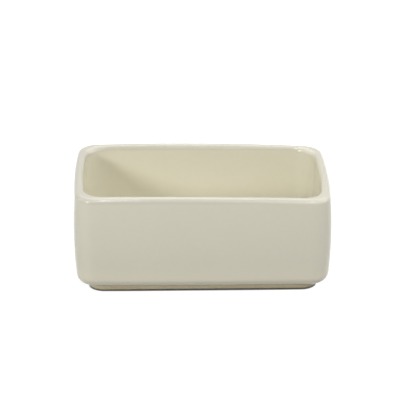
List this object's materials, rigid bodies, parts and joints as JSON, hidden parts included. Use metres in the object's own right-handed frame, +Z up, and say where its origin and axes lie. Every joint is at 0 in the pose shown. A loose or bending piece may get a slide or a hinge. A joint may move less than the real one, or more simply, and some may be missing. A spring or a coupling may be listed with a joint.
{
  "type": "sugar packet holder",
  "caption": "Open rectangular glazed china tray with bowed walls, rolled rim and a bare foot ring, for standing paper sugar packets in on a table.",
  "frame": {"origin": "on the table, under the middle of the tray", "axes": "+X along the long side, +Y from the front long side to the back one, +Z up out of the open top"},
  "size_m": [0.111, 0.0664, 0.045],
  "materials": {
    "glaze": "gloss cream glaze over fired china",
    "bare_foot": "thin glaze at the top of the ring, wiped off to bare fired china where it stands"
  },
  "bodies": {
    "root": {"body": "glaze", "foot_ring": "bare_foot"}
  },
  "joints": []
}
